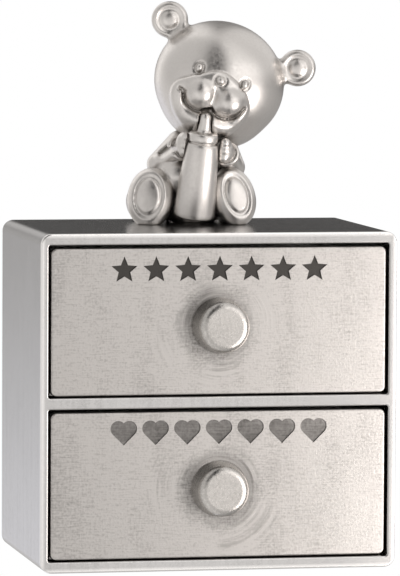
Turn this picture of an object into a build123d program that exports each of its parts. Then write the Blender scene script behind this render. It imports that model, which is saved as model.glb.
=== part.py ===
"""Baby tooth box: a small cast chest of two drawers with a seated bear holding its bottle on the roof.

Millimetres. +X is the viewer's right, the drawers open towards -Y and +Z is up. The origin is the
middle of the footprint, on the surface that the felt underside rests on.
"""
import math
import os

from build123d import *

os.makedirs("parts", exist_ok=True)

# Case: one cast shell with two bays, open at the front and the back
case_width = 55.0
case_depth = 36.0
side_wall = 1.2
floor_wall = 1.7
shelf_wall = 1.75
roof_wall = 1.75
bay_height = 23.1
case_edge_radius = 1.7
rim_edge_radius = 0.25
bay_corner_radius = 0.35

# Back panel, pressed into the rear of the shell
back_thickness = 1.2
back_fit = 0.05
back_set_in = 0.2

# Felt under the case, glued into a shallow recess
felt_thickness = 0.5
felt_recess = 0.3
felt_inset = 2.5
felt_corner_radius = 1.5
felt_fit = 0.1

# Drawers: the front and the tray are one casting
front_thickness = 2.0
front_side_gap = 0.4
front_top_gap = 0.5
drawer_running_gap = 0.25
front_set_back = 0.3
front_corner_radius = 0.9
front_edge_radius = 0.3
tray_side_gap = 0.55
tray_back_gap = 0.4
tray_wall = 1.2
tray_floor = 1.2
tray_wall_height = 17.5
tray_corner_radius = 2.0
lining_thickness = 1.0
lining_gap = 0.3

# Row of sunk stars or hearts near the top of each front
motif_count = 7
motif_spacing = 4.9
motif_drop = 3.35
motif_depth = 0.3
star_diameter = 4.2
star_points = 5
star_waist_share = 0.45
heart_side = 2.4

# Knobs, each held by a screw from inside its drawer
knob_base_diameter = 8.5
knob_face_diameter = 7.6
knob_length = 4.5
knob_edge_radius = 1.2
knob_drop = 0.65
knob_screw_diameter = 2.0
knob_screw_depth = 2.8
knob_screw_fit = 0.1
screw_head_diameter = 3.6
screw_head_height = 1.1
screw_head_edge_radius = 0.35
screw_slot_width = 0.5
screw_slot_depth = 0.45

# Bear: where it sits on the roof, and how it and its head are turned
figure_right_of_middle = 0.825
figure_behind_middle = 9.3
figure_turn = -9.0
head_turn = -2.5
head_roll = 20.5
cast_fit = 0.05

# Head: balls stretched along the line from ear to ear
head_height = 18.8
head_stretch = 1.6
head_right_share = 0.43
head_forward_share = 0.04
head_rise_share = 0.84
muzzle_height = 9.1
muzzle_stretch = 3.7
muzzle_place_shares = (0.0, -0.68, -0.27)
lip_height = 5.2
lip_stretch = 2.8
lip_place_shares = (0.0, -0.78, -0.56)
nose_diameter = 1.9
nose_rise_share = 0.68
nose_sunk_share = 0.55
eye_width = 1.2
eye_stretch = 0.6
eye_place_shares = (0.368, -0.928, 0.133)
mouth_line_width = 0.45
mouth_line_depth = 0.45
mouth_corner_shares = (0.735, -0.07)
mouth_low_shares = (0.315, -0.42)
mouth_middle_shares = (0.02, -0.285)
mouth_top_shares = (0.0, 0.49)
ear_diameter = 5.7
ear_thickness = 2.6
ear_rim_width = 0.85
ear_hollow_depth = 0.8
ear_bump_height = 0.45
ear_bump_edge_share = 0.8
ear_edge_radius = 0.45
ear_hollow_shares = (0.6, 0.3)
ear_place_shares = (1.04, 0.68)
ear_root_shares = (0.92, 0.585)
ear_root_diameter = 3.8
neck_peg_diameter = 3.0
neck_peg_length = 4.0
neck_peg_foot_share = 0.6

# Torso: a pear turned about the upright line, with a small tail
torso_diameter = 11.8
torso_height = 14.0
torso_level_shares = (0.0, 0.3, 0.66, 1.0)
torso_radius_shares = (0.88, 1.0, 0.86, 0.58)
tail_diameter = 3.2
tail_height_share = 0.17

# Legs: a ball at the hip, a taper and an oval foot with a groove round its pad
leg_spread = 14.3
sole_reach = 8.6
hip_diameter = 7.2
hip_behind_share = 0.14
hip_out_share = 0.9
hip_height_share = 0.42
foot_width = 6.5
foot_height = 9.4
foot_splay = 15.0
foot_lean = 12.0
foot_thickness = 4.2
foot_edge_radius = 0.85
foot_back_radius = 1.6
ankle_share = 0.86
left_foot_roll = 3.0
right_foot_roll = -14.0
sole_pad_share = 0.62
sole_groove_width = 0.45
sole_groove_depth = 0.35

# Arms, as balls and tapers from the shoulder over the elbow to the paw on the bottle
shoulder_diameter = 5.2
elbow_diameter = 4.4
wrist_diameter = 3.3
paw_diameter = 3.4
toe_diameter = 1.2
toe_spacing = 1.1
toe_count = 3
toe_forward_share = 0.42
left_shoulder_shares = (-0.3, 0.0, 0.8)
left_elbow_shares = (-0.42, -0.22, 0.64)
left_paw_turn = 200.0
left_paw_rise_share = 0.68
right_shoulder_shares = (0.42, 0.0, 0.7)
right_elbow_shares = (0.58, -0.22, 0.6)
right_paw_turn = -5.0
right_paw_rise_share = 0.6
paw_reach = 1.1

# Bottle: it stands clear of the roof and ends in the mouth
bottle_foot_reach = 8.0
bottle_foot_right = 0.19
bottle_foot_gap = 1.2
bottle_base_diameter = 6.5
bottle_neck_diameter = 4.8
bottle_cap_diameter = 4.6
bottle_groove_width = 0.35
bottle_groove_depth = 0.3
bottle_base_radius = 0.5
bottle_cap_radius = 0.35
bottle_cap_foot_share = 0.735
bottle_cap_top_share = 0.825
teat_diameter = 2.1
teat_tip_diameter = 1.6
teat_bite = 0.8
teat_place_shares = (-0.02, -1.02, -0.55)

# Screws that hold the bear, from under the roof
bear_screw_diameter = 2.0
bear_screw_depth = 5.0
bear_screw_spacing = 5.6
bear_screw_fit = 0.15

# Sizes that follow from those above
case_bottom = felt_thickness - felt_recess
inner_width = case_width - 2 * side_wall
inner_height = 2 * bay_height + shelf_wall
case_height = floor_wall + inner_height + roof_wall
case_middle = case_bottom + case_height / 2
lower_bay_floor = case_bottom + floor_wall
upper_bay_floor = lower_bay_floor + bay_height + shelf_wall
roof_underside = upper_bay_floor + bay_height
case_top = roof_underside + roof_wall
front_plane = Plane.XZ.offset(case_depth / 2)
rear_plane = Plane.XZ.offset(-case_depth / 2)
front_width = inner_width - 2 * front_side_gap
front_height = bay_height - front_top_gap - drawer_running_gap
front_face = case_depth / 2 - front_set_back
front_back = front_face - front_thickness
tray_width = inner_width - 2 * tray_side_gap
tray_rear = case_depth / 2 - back_set_in - back_thickness - tray_back_gap
tray_length = tray_rear + front_back
head_width = head_height + head_stretch
muzzle_width = muzzle_height + muzzle_stretch
bay_floors = {"lower": lower_bay_floor, "upper": upper_bay_floor}

# The bear's own places: the figure stands on the roof, the head on the torso
figure_place = Location(
    (figure_right_of_middle, figure_behind_middle, case_top), (0, 0, figure_turn)
)
head_middle = (
    head_right_share * head_width / 2,
    -head_forward_share * head_height,
    torso_height + head_rise_share * head_height / 2,
)
head_seat = Location(head_middle, (0, 0, head_turn)) * Location((0, 0, 0), (0, head_roll, 0))


def pill(stretch, diameter, turn=0):
    """A ball stretched along X, turned from half a slot, and then laid at an angle."""
    with BuildPart() as form:
        with BuildSketch(Plane.XY):
            SlotCenterToCenter(stretch, diameter)
            split(bisect_by=Plane.XZ, keep=Keep.TOP)
        revolve(axis=Axis.X)
    return Rot(0, turn, 0) * form.part


def head_point(shares):
    """A point of the head's own frame, from shares of its half sizes."""
    return Vector(
        shares[0] * head_width / 2, shares[1] * head_height / 2, shares[2] * head_height / 2
    )


def torso_point(shares):
    """A point of the figure's frame, from shares of the torso's sizes."""
    return Vector(
        shares[0] * torso_diameter, shares[1] * torso_diameter, shares[2] * torso_height
    )


def taper(start, start_diameter, end, end_diameter):
    """A round taper between two points, with a ball at each end."""
    way = end - start
    with BuildPart() as form:
        with BuildSketch(Plane(origin=start, z_dir=way)):
            Circle(start_diameter / 2)
        with BuildSketch(Plane(origin=end, z_dir=way)):
            Circle(end_diameter / 2)
        loft()
        with Locations(start):
            Sphere(start_diameter / 2)
        with Locations(end):
            Sphere(end_diameter / 2)
    return form.part


def write(part, label):
    """Name a finished piece and write it."""
    part.label = label
    export_step(part, f"parts/{label}.step")


# Places on the bottle: its foot over the roof, its tip in the mouth
bottle_foot = Vector(bottle_foot_right, -bottle_foot_reach, bottle_foot_gap)
mouth_point = (head_seat * Pos(*head_point(teat_place_shares))).position
bottle_way = mouth_point - bottle_foot
bottle_length = bottle_way.length
bottle_plane = Plane(origin=bottle_foot, x_dir=(1, 0, 0), z_dir=bottle_way)
bear_screw_points = [
    (figure_place * Pos(side * bear_screw_spacing / 2, 0, 0)).position for side in (-1, 1)
]


# Cabinet shell
with BuildPart() as shell:
    with BuildSketch(front_plane):
        with Locations((0, case_middle)):
            RectangleRounded(case_width, case_height, case_edge_radius)
        for bay_floor in bay_floors.values():
            with Locations((0, bay_floor + bay_height / 2)):
                RectangleRounded(inner_width, bay_height, bay_corner_radius, mode=Mode.SUBTRACT)
    extrude(amount=-case_depth)
    # The shelf stops short of the back, where the panel sits
    with BuildSketch(rear_plane):
        with Locations((0, lower_bay_floor + inner_height / 2)):
            RectangleRounded(inner_width, inner_height, bay_corner_radius)
    extrude(amount=back_set_in + back_thickness + back_fit, mode=Mode.SUBTRACT)
    fillet(shell.faces().sort_by(Axis.Y)[0].edges(), rim_edge_radius)
    fillet(shell.faces().sort_by(Axis.Y)[-1].outer_wire().edges(), rim_edge_radius)
    # Recess for the felt
    with BuildSketch(Plane.XY.offset(case_bottom)):
        RectangleRounded(
            case_width - 2 * felt_inset, case_depth - 2 * felt_inset, felt_corner_radius
        )
    extrude(amount=felt_recess, mode=Mode.SUBTRACT)
    # Holes for the screws of the bear
    with BuildSketch(Plane.XY.offset(roof_underside)):
        with Locations(*[(point.X, point.Y) for point in bear_screw_points]):
            Circle(bear_screw_diameter / 2 + bear_screw_fit)
    extrude(amount=roof_wall, mode=Mode.SUBTRACT)
write(shell.part, "cabinet_shell")

# Back panel
with BuildPart() as back_panel:
    with BuildSketch(rear_plane.offset(back_set_in)):
        with Locations((0, lower_bay_floor + inner_height / 2)):
            RectangleRounded(
                inner_width - 2 * back_fit, inner_height - 2 * back_fit, bay_corner_radius
            )
    extrude(amount=back_thickness)
write(back_panel.part, "back_panel")

# Felt
with BuildPart() as base_felt:
    with BuildSketch(Plane.XY):
        RectangleRounded(
            case_width - 2 * felt_inset - 2 * felt_fit,
            case_depth - 2 * felt_inset - 2 * felt_fit,
            felt_corner_radius - felt_fit,
        )
    extrude(amount=felt_thickness)
write(base_felt.part, "base_felt")


def star_outline():
    """The corners of a star with one point up."""
    corners = []
    for index in range(2 * star_points):
        reach = star_diameter / 2 * (star_waist_share if index % 2 else 1)
        turn = math.pi * index / star_points
        corners.append((reach * math.sin(turn), reach * math.cos(turn)))
    return corners


def draw_motif(name):
    """A star for the upper drawer or a heart for the lower one, about the sketch's place."""
    if name == "upper":
        Polygon(*star_outline())
    else:
        lobe_out = heart_side / math.sqrt(2) / 2
        Rectangle(heart_side, heart_side, rotation=45)
        with Locations((-lobe_out, lobe_out), (lobe_out, lobe_out)):
            Circle(heart_side / 2)


def build_drawer(name, bay_floor):
    """One drawer with its knob, screw and lining, over the floor of its bay."""
    drawer_bottom = bay_floor + drawer_running_gap
    front_middle = drawer_bottom + front_height / 2
    knob_height = front_middle - knob_drop
    knob_hole = knob_screw_diameter / 2 + knob_screw_fit

    with BuildPart() as tray:
        with BuildSketch(Plane.XZ.offset(front_face)):
            with Locations((0, front_middle)):
                RectangleRounded(front_width, front_height, front_corner_radius)
        extrude(amount=-front_thickness)
        fillet(tray.faces().sort_by(Axis.Y)[0].edges(), front_edge_radius)
        # Walls and floor behind the front
        with BuildSketch(Plane.XY.offset(drawer_bottom)):
            with Locations((0, tray_rear - tray_length / 2)):
                Rectangle(tray_width, tray_length)
        extrude(amount=tray_wall_height)
        rear_edges = tray.edges().filter_by(Axis.Z).group_by(Axis.Y)[-1]
        fillet(rear_edges, tray_corner_radius)
        with BuildSketch(Plane.XY.offset(drawer_bottom + tray_floor)):
            with Locations((0, tray_rear - tray_length / 2 - tray_wall / 2)):
                RectangleRounded(
                    tray_width - 2 * tray_wall,
                    tray_length - tray_wall,
                    tray_corner_radius - tray_wall,
                )
        extrude(amount=tray_wall_height, mode=Mode.SUBTRACT)
        with BuildSketch(Plane.XZ.offset(front_face)):
            with Locations((0, knob_height)):
                Circle(knob_hole)
        extrude(amount=-front_thickness, mode=Mode.SUBTRACT)
        with BuildSketch(Plane.XZ.offset(front_face)):
            with Locations((0, drawer_bottom + front_height - motif_drop)):
                with GridLocations(motif_spacing, 0, motif_count, 1):
                    draw_motif(name)
        extrude(amount=-motif_depth, mode=Mode.SUBTRACT)
    write(tray.part, f"{name}_drawer_tray")

    with BuildPart() as knob:
        with BuildSketch(Plane.XZ.offset(front_face)):
            with Locations((0, knob_height)):
                Circle(knob_base_diameter / 2)
        with BuildSketch(Plane.XZ.offset(front_face + knob_length)):
            with Locations((0, knob_height)):
                Circle(knob_face_diameter / 2)
        loft()
        fillet(knob.faces().sort_by(Axis.Y)[0].edges(), knob_edge_radius)
        with BuildSketch(Plane.XZ.offset(front_face)):
            with Locations((0, knob_height)):
                Circle(knob_screw_diameter / 2)
        extrude(amount=knob_screw_depth, mode=Mode.SUBTRACT)
    write(knob.part, f"{name}_knob")

    with BuildPart() as screw:
        with BuildSketch(Plane.XZ.offset(front_back)):
            with Locations((0, knob_height)):
                Circle(screw_head_diameter / 2)
        extrude(amount=-screw_head_height)
        fillet(screw.faces().sort_by(Axis.Y)[-1].edges(), screw_head_edge_radius)
        with BuildSketch(Plane.XZ.offset(front_back - screw_head_height)):
            with Locations((0, knob_height)):
                Rectangle(screw_head_diameter, screw_slot_width)
        extrude(amount=screw_slot_depth, mode=Mode.SUBTRACT)
        with BuildSketch(Plane.XZ.offset(front_back)):
            with Locations((0, knob_height)):
                Circle(knob_screw_diameter / 2)
        extrude(amount=front_thickness + knob_screw_depth)
    write(screw.part, f"{name}_knob_screw")

    with BuildPart() as lining:
        with BuildSketch(Plane.XY.offset(drawer_bottom + tray_floor)):
            with Locations((0, tray_rear - tray_length / 2 - tray_wall / 2)):
                RectangleRounded(
                    tray_width - 2 * tray_wall - 2 * lining_gap,
                    tray_length - tray_wall - 2 * lining_gap,
                    tray_corner_radius - tray_wall,
                )
        extrude(amount=lining_thickness)
        fillet(lining.faces().sort_by(Axis.Z)[-1].edges(), lining_thickness / 2)
    write(lining.part, f"{name}_drawer_lining")


for drawer_name, drawer_bay_floor in bay_floors.items():
    build_drawer(drawer_name, drawer_bay_floor)


def bottle_form(growth):
    """The bottle turned round its own axis, grown all round by a clearance."""
    cap_foot = bottle_cap_foot_share * bottle_length - growth
    cap_top = bottle_cap_top_share * bottle_length + growth
    groove_foot = cap_foot - bottle_groove_width + 2 * growth
    base_radius = bottle_base_diameter / 2 + growth
    neck_radius = bottle_neck_diameter / 2 + growth
    cap_radius = bottle_cap_diameter / 2 + growth
    groove_radius = cap_radius - bottle_groove_depth
    teat_radius = teat_diameter / 2 + growth
    tip_radius = teat_tip_diameter / 2 + growth
    tip = bottle_length + teat_bite + growth
    with BuildPart() as form:
        with BuildSketch(Plane.XZ):
            with BuildLine():
                Polyline(
                    (0, -growth),
                    (base_radius - bottle_base_radius, -growth),
                    (base_radius, bottle_base_radius - growth),
                    (neck_radius, groove_foot),
                    (groove_radius, groove_foot),
                    (groove_radius, cap_foot),
                    (cap_radius, cap_foot),
                    (cap_radius, cap_top - bottle_cap_radius),
                    (cap_radius - bottle_cap_radius, cap_top),
                    (teat_radius, cap_top),
                    (tip_radius, tip - tip_radius),
                )
                RadiusArc((tip_radius, tip - tip_radius), (0, tip), -tip_radius)
                Line((0, tip), (0, -growth))
            make_face()
        revolve(axis=Axis.Z)
    return bottle_plane.location * form.part


# Feeding bottle
bottle = bottle_form(0)
write(figure_place * bottle, "feeding_bottle")
bottle_room = bottle_form(cast_fit)


def head_form(growth):
    """The skull, grown all round by a clearance, in the head's own frame."""
    return pill(head_stretch, head_height + 2 * growth)


def muzzle_form(growth):
    """The muzzle and the lower lip, grown all round, in the head's own frame."""
    muzzle = pill(muzzle_stretch, muzzle_height + 2 * growth)
    lip = pill(lip_stretch, lip_height + 2 * growth)
    return Pos(*head_point(muzzle_place_shares)) * muzzle + Pos(*head_point(lip_place_shares)) * lip


# Mouth line: a narrow band drawn on the front of the muzzle and sunk a little way in
def mouth_shares_point(shares, side=1):
    """A point of the mouth, from shares of the muzzle's half sizes."""
    middle = head_point(muzzle_place_shares)
    return (
        middle.X + side * shares[0] * muzzle_width / 2,
        middle.Z + shares[1] * muzzle_height / 2,
    )


with BuildPart() as mouth_line:
    with BuildSketch(Plane.XZ.offset(head_height / 2 + muzzle_height / 2)):
        with BuildLine():
            mouth_middle = mouth_shares_point(mouth_middle_shares)
            ThreePointArc(
                mouth_shares_point(mouth_corner_shares, -1),
                mouth_shares_point(mouth_low_shares, -1),
                mouth_middle,
            )
            ThreePointArc(
                mouth_middle,
                mouth_shares_point(mouth_low_shares),
                mouth_shares_point(mouth_corner_shares),
            )
            Line(mouth_middle, mouth_shares_point(mouth_top_shares))
        trace(line_width=mouth_line_width)
    extrude(amount=-(head_height / 2 + muzzle_height / 2))
    add(head_form(-mouth_line_depth), mode=Mode.SUBTRACT)
    add(muzzle_form(-mouth_line_depth), mode=Mode.SUBTRACT)


# Ear: a disc with a raised rim, a hollow and a low bump, turned round its own axis
def build_ear():
    """One ear about the line through its middle, facing -Y."""
    radius = ear_diameter / 2
    hollow = radius - ear_rim_width
    floor_edge = ear_hollow_shares[0] * hollow
    bump_edge = ear_hollow_shares[1] * hollow
    face = -ear_thickness / 2
    with BuildPart() as form:
        with BuildSketch(Plane.XY):
            with BuildLine():
                Line((0, -face), (radius, -face))
                Line((radius, -face), (radius, face))
                Line((radius, face), (hollow, face))
                Line((hollow, face), (floor_edge, face + ear_hollow_depth))
                ThreePointArc(
                    (floor_edge, face + ear_hollow_depth),
                    (bump_edge, face + ear_hollow_depth - ear_bump_height * ear_bump_edge_share),
                    (0, face + ear_hollow_depth - ear_bump_height),
                )
                Line((0, face + ear_hollow_depth - ear_bump_height), (0, -face))
            make_face()
        revolve(axis=Axis.Y)
        outer_rims = form.edges().filter_by(GeomType.CIRCLE).group_by(SortBy.RADIUS)[-1]
        fillet(outer_rims, ear_edge_radius)
    return form.part


ear = build_ear()

# Neck: a peg on the torso goes up into the head
neck_foot = torso_point((0, 0, neck_peg_foot_share))
neck_way = Vector(*head_middle) - neck_foot
neck_reach = neck_way.length - head_height / 2 + neck_peg_length
neck_plane = Plane(origin=neck_foot, z_dir=neck_way)

# Head
eye = pill(eye_stretch, eye_width, 90)
with BuildPart() as bear_head:
    add(head_form(0))
    add(muzzle_form(0))
    for side in (-1, 1):
        root_x = side * ear_root_shares[0] * head_width / 2
        root_z = ear_root_shares[1] * head_height / 2
        with Locations((root_x, 0, root_z)):
            Sphere(ear_root_diameter / 2)
        ear_x = side * ear_place_shares[0] * head_width / 2
        ear_z = ear_place_shares[1] * head_height / 2
        with Locations((ear_x, 0, ear_z)):
            add(ear)
        eye_middle = head_point(eye_place_shares)
        with Locations((side * eye_middle.X, eye_middle.Y, eye_middle.Z)):
            add(eye)
    # The nose sits partly sunk in the top of the muzzle
    muzzle_middle = head_point(muzzle_place_shares)
    nose_rise = nose_rise_share * muzzle_height / 2
    nose_forward = (muzzle_height**2 / 4 - nose_rise**2) ** (1 / 2)
    nose_forward += (1 / 2 - nose_sunk_share) * nose_diameter
    with Locations((0, muzzle_middle.Y - nose_forward, muzzle_middle.Z + nose_rise)):
        Sphere(nose_diameter / 2)
    add(mouth_line.part, mode=Mode.SUBTRACT)
    add(head_seat.inverse() * bottle_room, mode=Mode.SUBTRACT)
    with BuildSketch(Plane(head_seat.inverse() * neck_plane.location)):
        Circle(neck_peg_diameter / 2 + cast_fit)
    extrude(amount=neck_reach + cast_fit, mode=Mode.SUBTRACT)
write(figure_place * head_seat * bear_head.part, "bear_head")


def build_foot():
    """One foot, with the sole facing -Y at the origin and a groove round its pad."""
    pad_half_width = sole_pad_share * foot_width / 2
    pad_half_height = sole_pad_share * foot_height / 2
    with BuildPart() as form:
        with BuildSketch(Plane.XZ):
            Ellipse(foot_width / 2, foot_height / 2)
        extrude(amount=-foot_thickness)
        fillet(form.faces().sort_by(Axis.Y)[0].edges(), foot_edge_radius)
        fillet(form.faces().sort_by(Axis.Y)[-1].edges(), foot_back_radius)
        with BuildSketch(Plane.XZ):
            Ellipse(pad_half_width + sole_groove_width, pad_half_height + sole_groove_width)
            Ellipse(pad_half_width, pad_half_height, mode=Mode.SUBTRACT)
        extrude(amount=-sole_groove_depth, mode=Mode.SUBTRACT)
    return form.part


foot = build_foot()


def build_leg(side, foot_roll):
    """One leg from the ball of the hip to the sole."""
    foot_x = side * leg_spread / 2
    ankle_radius = ankle_share * foot_width / 2
    hip_x = hip_out_share * foot_x
    hip = Vector(hip_x, hip_behind_share * sole_reach, hip_height_share * hip_diameter)
    ankle = Vector(foot_x, foot_thickness - ankle_radius - sole_reach, ankle_radius)
    foot_turn = Rot(0, 0, side * foot_splay) * Rot(-foot_lean, 0, 0) * Rot(0, foot_roll, 0)
    with BuildPart() as form:
        add(taper(hip, hip_diameter, ankle, 2 * ankle_radius))
        add(Pos(foot_x, -sole_reach, foot_height / 2) * foot_turn * foot)
    return form.part


def paw_point(turn, rise_share):
    """The middle of a paw, beside the bottle's axis at a share of its length."""
    around = Pos(0, 0, rise_share * bottle_length) * Rot(0, 0, turn)
    reach = bottle_neck_diameter / 2 + paw_reach
    return (bottle_plane.location * around * Pos(reach, 0, 0)).position


def build_arm(shoulder_shares, elbow_shares, paw):
    """One arm from the shoulder over the elbow to the paw and its toes."""
    shoulder = torso_point(shoulder_shares)
    elbow = torso_point(elbow_shares)
    with BuildPart() as form:
        add(taper(shoulder, shoulder_diameter, elbow, elbow_diameter))
        add(taper(elbow, elbow_diameter, paw, wrist_diameter))
        with Locations(paw):
            Sphere(paw_diameter / 2)
        for index in range(toe_count):
            rise = (index - (toe_count - 1) / 2) * toe_spacing
            toe = paw + bottle_way.normalized() * rise
            with Locations((toe.X, toe.Y - toe_forward_share * paw_diameter, toe.Z)):
                Sphere(toe_diameter / 2)
    return form.part


# Torso, legs and arms in one casting
with BuildPart() as bear_body:
    with BuildSketch(Plane.XZ):
        with BuildLine():
            side_line = Spline(
                [
                    (radius_share * torso_diameter / 2, level_share * torso_height)
                    for radius_share, level_share in zip(torso_radius_shares, torso_level_shares)
                ]
            )
            Polyline(side_line @ 1, (0, torso_height), (0, 0), side_line @ 0)
        make_face()
    revolve(axis=Axis.Z)
    with Locations((0, torso_diameter / 2, tail_height_share * torso_height)):
        Sphere(tail_diameter / 2)
    for side, foot_roll in ((-1, left_foot_roll), (1, right_foot_roll)):
        add(build_leg(side, foot_roll))
    left_paw = paw_point(left_paw_turn, left_paw_rise_share)
    right_paw = paw_point(right_paw_turn, right_paw_rise_share)
    add(build_arm(left_shoulder_shares, left_elbow_shares, left_paw))
    add(build_arm(right_shoulder_shares, right_elbow_shares, right_paw))
    add(head_seat * head_form(cast_fit), mode=Mode.SUBTRACT)
    add(bottle_room, mode=Mode.SUBTRACT)
    with BuildSketch(neck_plane):
        Circle(neck_peg_diameter / 2)
    extrude(amount=neck_reach)
    # The figure sits flat on the roof
    split(bisect_by=Plane.XY)
    with BuildSketch(Plane.XY):
        with GridLocations(bear_screw_spacing, 0, 2, 1):
            Circle(bear_screw_diameter / 2)
    extrude(amount=bear_screw_depth, mode=Mode.SUBTRACT)
write(figure_place * bear_body.part, "bear_body")

# Screws of the bear, with their heads under the roof
with BuildPart() as bear_screws:
    with BuildSketch(Plane.XY.offset(roof_underside)):
        with Locations(*[(point.X, point.Y) for point in bear_screw_points]):
            Circle(screw_head_diameter / 2)
    extrude(amount=-screw_head_height)
    fillet(bear_screws.faces().group_by(Axis.Z)[0].edges(), screw_head_edge_radius)
    with BuildSketch(Plane.XY.offset(roof_underside - screw_head_height)):
        with Locations(*[(point.X, point.Y) for point in bear_screw_points]):
            Rectangle(screw_slot_width, screw_head_diameter)
    extrude(amount=screw_slot_depth, mode=Mode.SUBTRACT)
    with BuildSketch(Plane.XY.offset(roof_underside)):
        with Locations(*[(point.X, point.Y) for point in bear_screw_points]):
            Circle(bear_screw_diameter / 2)
    extrude(amount=roof_wall + bear_screw_depth)
write(bear_screws.part, "bear_screws")
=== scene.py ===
# %% [markdown]
# A baby tooth box in antiqued cast metal: a little chest of two drawers with a bear on the roof. The
# construction comes ready made, in metres, as a fixed frame of named nodes. This lesson gives each node
# its finish, and sculpts the figure, whose soft joins a drawn solid can't show. Nothing is moved.

# %% The frame and its size
import bmesh
import bpy
import numpy as np
from math import pi, radians
from mathutils import Matrix, Vector


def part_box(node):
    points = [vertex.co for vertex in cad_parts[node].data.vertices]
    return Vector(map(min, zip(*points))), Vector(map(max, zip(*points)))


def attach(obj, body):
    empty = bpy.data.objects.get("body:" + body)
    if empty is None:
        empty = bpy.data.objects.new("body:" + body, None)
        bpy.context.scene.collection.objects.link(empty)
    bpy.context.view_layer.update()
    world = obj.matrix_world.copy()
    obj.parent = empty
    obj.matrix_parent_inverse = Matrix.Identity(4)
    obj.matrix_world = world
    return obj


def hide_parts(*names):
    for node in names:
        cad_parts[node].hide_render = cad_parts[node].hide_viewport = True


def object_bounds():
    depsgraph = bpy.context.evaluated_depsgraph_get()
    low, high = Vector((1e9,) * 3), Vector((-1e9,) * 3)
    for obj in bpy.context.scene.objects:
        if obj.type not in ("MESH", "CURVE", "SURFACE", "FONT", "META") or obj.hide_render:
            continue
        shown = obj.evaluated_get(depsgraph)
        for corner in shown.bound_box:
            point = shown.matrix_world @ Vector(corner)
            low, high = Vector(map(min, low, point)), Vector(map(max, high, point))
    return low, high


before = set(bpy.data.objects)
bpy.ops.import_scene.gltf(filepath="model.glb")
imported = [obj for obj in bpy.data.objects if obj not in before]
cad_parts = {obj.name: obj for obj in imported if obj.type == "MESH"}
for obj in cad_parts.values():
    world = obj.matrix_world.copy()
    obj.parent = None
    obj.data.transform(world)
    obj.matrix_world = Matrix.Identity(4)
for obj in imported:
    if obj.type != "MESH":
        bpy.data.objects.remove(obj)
cad_box = [list(map(float, corner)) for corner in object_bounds()]
MM = 0.001
print("the solids measure", [round((b - a) / MM, 1) for a, b in zip(*cad_box)], "mm")

# %% [markdown]
# The camera stands where the photographer's stood. It could be placed by eye, but then the edges of the
# case would never quite lie on those of the picture. So its place and its directions were worked out from
# the case's corners in the photograph and its sizes. A long lens a good way off keeps the edges nearly
# parallel, as they are in the picture.

# %% Camera
camera_place = Vector((-154.66, -756.45, 98.96)) * MM
camera_right = Vector((0.97965, -0.20063, 0.00533))
camera_up = Vector((0.00958, 0.07327, 0.99727))
camera_back = camera_right.cross(camera_up)
focal_pixels = 5000
frame_height_pixels = 576
camera_data = bpy.data.cameras.new("camera")
camera_data.sensor_width = 36
camera_data.lens = camera_data.sensor_width * focal_pixels / frame_height_pixels
camera_data.clip_start = 0.01
camera = bpy.data.objects.new("camera", camera_data)
camera.matrix_world = Matrix.Translation(camera_place) @ Matrix(
    (camera_right, camera_up, camera_back)
).transposed().to_4x4()
bpy.context.scene.collection.objects.link(camera)
bpy.context.scene.camera = camera
print("lens", round(camera_data.lens, 1), "mm")

# %% [markdown]
# Every finish here is a small net of shader nodes. Building one by hand takes a line for each node, each
# setting and each link, so a few helpers do it in one call: one adds any node, the others add the kinds
# that are needed most, and give back the socket that the next node takes.

# %% Helpers for nodes
def new_material(name):
    """A material with its own shader, ready for nodes."""
    material = bpy.data.materials.new(name)
    material.use_nodes = True
    tree = material.node_tree
    return material, tree, tree.nodes["Principled BSDF"]


def node(tree, kind, settings=None, **links):
    """Add a node, set its named settings, and link or set its inputs, by name or as i0, i1, i2."""
    made = tree.nodes.new(kind)
    for key, value in (settings or {}).items():
        setattr(made, key, value)
    for key, value in links.items():
        socket = made.inputs[int(key[1:])] if key[0] == "i" and key[1:].isdigit() else made.inputs[key]
        if isinstance(value, bpy.types.NodeSocket):
            tree.links.new(value, socket)
        else:
            socket.default_value = value
    return made


def calc(tree, operation, *values, clamp=False):
    """One step of arithmetic on sockets and numbers."""
    inputs = {f"i{index}": value for index, value in enumerate(values)}
    settings = {"operation": operation, "use_clamp": clamp}
    return node(tree, "ShaderNodeMath", settings, **inputs).outputs[0]


def span(tree, value, low, high, start, end):
    """Map a value from one range to another, and stop at the ends."""
    return node(
        tree, "ShaderNodeMapRange", Value=value,
        **{"From Min": low, "From Max": high, "To Min": start, "To Max": end},
    ).outputs[0]


def blend(tree, share, first, second):
    """Mix two colours."""
    return node(
        tree, "ShaderNodeMix", {"data_type": "RGBA"}, Factor=share, i6=first, i7=second
    ).outputs[2]


def noise(tree, place, scale, detail=2.0, roughness=0.5):
    """Cloudy noise from nought to one."""
    return node(
        tree, "ShaderNodeTexNoise", Vector=place, Scale=scale, Detail=detail, Roughness=roughness
    ).outputs["Fac"]


def stretched(tree, position, scales):
    """Positions with each axis drawn out or squeezed."""
    return node(
        tree, "ShaderNodeVectorMath", {"operation": "MULTIPLY"}, i0=position, i1=Vector(scales)
    ).outputs[0]


def object_position(tree):
    """Where a point of the surface lies in the object, in metres."""
    return node(tree, "ShaderNodeTexCoord").outputs["Object"]


print("helpers for nodes, arithmetic, ranges, colours and noise")

# %% [markdown]
# The box stands on a pale floor that melts into a white distance. A white floor would send too much light
# up into the metal. So the floor is mid grey for every ray but the camera's own, which sees it as plain
# white, and mirrored rays pass through it to the greys of the room below.

# %% Floor
def is_camera(tree):
    """One for what the camera sees directly, nought for light and mirrored rays."""
    return node(tree, "ShaderNodeLightPath").outputs["Is Camera Ray"]


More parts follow.
